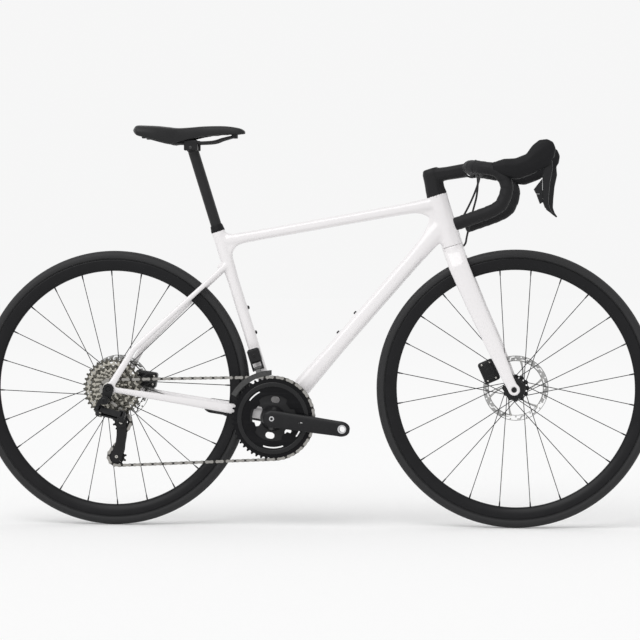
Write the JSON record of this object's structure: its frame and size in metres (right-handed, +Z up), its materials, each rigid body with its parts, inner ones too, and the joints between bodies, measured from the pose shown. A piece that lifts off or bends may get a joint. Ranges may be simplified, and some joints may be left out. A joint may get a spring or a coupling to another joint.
{
  "type": "road bicycle",
  "caption": "Drop-bar road bicycle with disc brakes, electronic derailleurs, spoked wheels, chain drive, steering fork and a sliding seatpost",
  "frame": {"origin": "on the ground, midway between the two axles", "axes": "+X forward along the way it rides, +Y to its left, +Z up; the chain is on its right"},
  "size_m": [1.6739, 0.4488, 0.9889],
  "materials": {
    "frame_paint": "gloss white paint",
    "black_paint": "satin black",
    "matte_black": "matte black",
    "rubber": "matte black rubber",
    "tyre": "matte black",
    "saddle_skin": "matte black synthetic cover",
    "bar_tape": "matte black wrapped tape",
    "steel": "brushed",
    "alloy": "silver"
  },
  "bodies": {
    "frame": {"main_frame": "frame_paint", "rear_triangle": "frame_paint", "derailleur_hanger": "black_paint", "rear_axle": "black_paint", "bb_cup_right": "black_paint", "bb_cup_left": "black_paint", "headset_upper_bearing": "steel", "headset_lower_bearing": "steel", "seat_boot": "rubber", "rear_caliper": "black_paint", "front_mech_body": "black_paint", "rear_mech_knuckle": "black_paint", "chain": "steel"},
    "rear_pad_in": {"rear_pad_inner": "steel"},
    "rear_pad_out": {"rear_pad_outer": "steel"},
    "front_mech_swing": {"front_mech_cage": "alloy"},
    "outer_link": {"rear_mech_outer_link": "black_paint"},
    "inner_link": {"rear_mech_inner_link": "black_paint"},
    "motor": {"rear_mech_motor": "black_paint"},
    "cage": {"rear_mech_cage": "black_paint"},
    "guide_wheel": {"guide_pulley": "matte_black"},
    "tension_wheel": {"tension_pulley": "matte_black"},
    "seat": {"seatpost": "matte_black", "saddle_clamp": "black_paint", "saddle_rails": "steel", "saddle_base": "matte_black", "saddle_cover": "saddle_skin"},
    "steering": {"fork": "frame_paint", "front_axle": "black_paint", "stem": "matte_black", "stem_faceplate": "matte_black", "handlebar": "black_paint", "bar_tape_right": "bar_tape", "bar_tape_left": "bar_tape", "hood_right": "rubber", "hood_left": "rubber", "front_caliper": "black_paint", "front_brake_hose": "rubber", "rear_brake_hose": "rubber"},
    "lever_right": {"brake_lever_right": "black_paint"},
    "lever_left": {"brake_lever_left": "black_paint"},
    "upper_right": {"shift_upper_right": "matte_black"},
    "lower_right": {"shift_lower_right": "matte_black"},
    "upper_left": {"shift_upper_left": "matte_black"},
    "lower_left": {"shift_lower_left": "matte_black"},
    "front_pad_in": {"front_pad_inner": "steel"},
    "front_pad_out": {"front_pad_outer": "steel"},
    "front_wheel": {"front_tyre": "tyre", "front_rim": "black_paint", "front_hub": "black_paint", "front_rotor": "steel"},
    "rear_wheel": {"rear_tyre": "tyre", "rear_rim": "black_paint", "rear_hub": "black_paint", "rear_rotor": "steel"},
    "sprockets": {"cassette": "steel"},
    "crank": {"crank_right": "black_paint", "crank_left": "black_paint", "big_ring": "black_paint", "small_ring": "black_paint"}
  },
  "joints": [
    {"name": "steering_turn", "type": "hinge", "parent": "frame", "child": "steering", "pos_m": [0.30643, 0, 0.81294], "axis": [-0.2924, 0, 0.9563], "range_deg": [-60, 60], "deforming": ["rear_brake_hose"]},
    {"name": "front_wheel_spin", "type": "hinge", "parent": "steering", "child": "front_wheel", "pos_m": [0.49703, 0, 0.34], "axis": [0, 1, 0], "continuous": true},
    {"name": "rear_wheel_spin", "type": "hinge", "parent": "frame", "child": "rear_wheel", "pos_m": [-0.49703, 0, 0.34], "axis": [0, 1, 0], "continuous": true},
    {"name": "crank_turn", "type": "hinge", "parent": "frame", "child": "crank", "pos_m": [-0.0934, 0, 0.268], "axis": [0, 1, 0], "continuous": true, "deforming": ["chain"]},
    {"name": "cassette_turn", "type": "hinge", "parent": "frame", "child": "sprockets", "pos_m": [-0.49703, 0, 0.34], "axis": [0, 1, 0], "continuous": true},
    {"name": "guide_pulley_turn", "type": "hinge", "parent": "cage", "child": "guide_wheel", "pos_m": [-0.46603, -0.063, 0.258], "axis": [0, 1, 0], "continuous": true},
    {"name": "tension_pulley_turn", "type": "hinge", "parent": "cage", "child": "tension_wheel", "pos_m": [-0.47916, -0.063, 0.17301], "axis": [0, 1, 0], "continuous": true},
    {"name": "brake_lever_right_pull", "type": "hinge", "parent": "steering", "child": "lever_right", "pos_m": [0.5848, -0.20496, 0.88517], "axis": [0, 1, 0], "range_deg": [0, 24], "stiffness_Nm_per_rad": 0.6},
    {"name": "brake_lever_left_pull", "type": "hinge", "parent": "steering", "child": "lever_left", "pos_m": [0.5848, 0.20496, 0.88517], "axis": [0, 1, 0], "range_deg": [0, 24], "stiffness_Nm_per_rad": 0.6},
    {"name": "shift_upper_right_press", "type": "hinge", "parent": "lever_right", "child": "upper_right", "pos_m": [0.56975, -0.20496, 0.82727], "axis": [0.0196, 0, -0.9998], "range_deg": [0, 6], "stiffness_Nm_per_rad": 0.2},
    {"name": "shift_lower_right_press", "type": "hinge", "parent": "lever_right", "child": "lower_right", "pos_m": [0.5706, -0.20496, 0.79922], "axis": [0.0523, 0, -0.9986], "range_deg": [0, 6], "stiffness_Nm_per_rad": 0.2},
    {"name": "shift_upper_left_press", "type": "hinge", "parent": "lever_left", "child": "upper_left", "pos_m": [0.56975, 0.20496, 0.82727], "axis": [-0.0196, 0, 0.9998], "range_deg": [0, 6], "stiffness_Nm_per_rad": 0.2},
    {"name": "shift_lower_left_press", "type": "hinge", "parent": "lever_left", "child": "lower_left", "pos_m": [0.5706, 0.20496, 0.79922], "axis": [-0.0523, 0, 0.9986], "range_deg": [0, 6], "stiffness_Nm_per_rad": 0.2},
    {"name": "outer_link_swing", "type": "hinge", "parent": "frame", "child": "outer_link", "pos_m": [-0.5109, -0.09936, 0.29036], "axis": [0.1918, 0.6428, 0.7416], "range_deg": [0, 50], "deforming": ["chain"]},
    {"name": "inner_link_swing", "type": "hinge", "parent": "frame", "child": "inner_link", "pos_m": [-0.51315, -0.08864, 0.28164], "axis": [0.1918, 0.6428, 0.7416], "range_deg": [0, 50]},
    {"name": "motor_level", "type": "hinge", "parent": "outer_link", "child": "motor", "pos_m": [-0.46443, -0.09936, 0.27834], "axis": [0.1918, 0.6428, 0.7416], "range_deg": [-50, 0]},
    {"name": "cage_swing", "type": "hinge", "parent": "motor", "child": "cage", "pos_m": [-0.46603, -0.063, 0.258], "axis": [0, 1, 0], "range_deg": [-50, 25], "stiffness_Nm_per_rad": 1, "deforming": ["chain"]},
    {"name": "front_mech_shift", "type": "hinge", "parent": "frame", "child": "front_mech_swing", "pos_m": [-0.13125, -0.036, 0.39028], "axis": [0.9553, 0, 0.2957], "range_deg": [0, 7], "deforming": ["chain"]},
    {"name": "seat_height", "type": "slide", "parent": "frame", "child": "seat", "axis": [-0.2957, 0, 0.9553], "range_m": [-0.05, 0.02]},
    {"name": "rear_pad_inner_press", "type": "slide", "parent": "frame", "child": "rear_pad_in", "axis": [0, 1, 0], "range_m": [0, 0.0005]},
    {"name": "rear_pad_outer_press", "type": "slide", "parent": "frame", "child": "rear_pad_out", "axis": [0, -1, 0], "range_m": [0, 0.0005]},
    {"name": "front_pad_inner_press", "type": "slide", "parent": "steering", "child": "front_pad_in", "axis": [0, 1, 0], "range_m": [0, 0.0005]},
    {"name": "front_pad_outer_press", "type": "slide", "parent": "steering", "child": "front_pad_out", "axis": [0, -1, 0], "range_m": [0, 0.0005]}
  ],
  "couplings": [
    {"joint": "cassette_turn", "follows": "crank_turn", "ratio": 4.5455},
    {"joint": "tension_pulley_turn", "follows": "crank_turn", "ratio": 4.5455},
    {"joint": "guide_pulley_turn", "follows": "crank_turn", "ratio": -4.5455},
    {"joint": "inner_link_swing", "follows": "outer_link_swing", "ratio": 1},
    {"joint": "motor_level", "follows": "outer_link_swing", "ratio": -1},
    {"joint": "rear_pad_inner_press", "follows": "brake_lever_left_pull", "m_per_rad": 0.0011937},
    {"joint": "rear_pad_outer_press", "follows": "brake_lever_left_pull", "m_per_rad": 0.0011937},
    {"joint": "front_pad_inner_press", "follows": "brake_lever_right_pull", "m_per_rad": 0.0011937},
    {"joint": "front_pad_outer_press", "follows": "brake_lever_right_pull", "m_per_rad": 0.0011937}
  ]
}
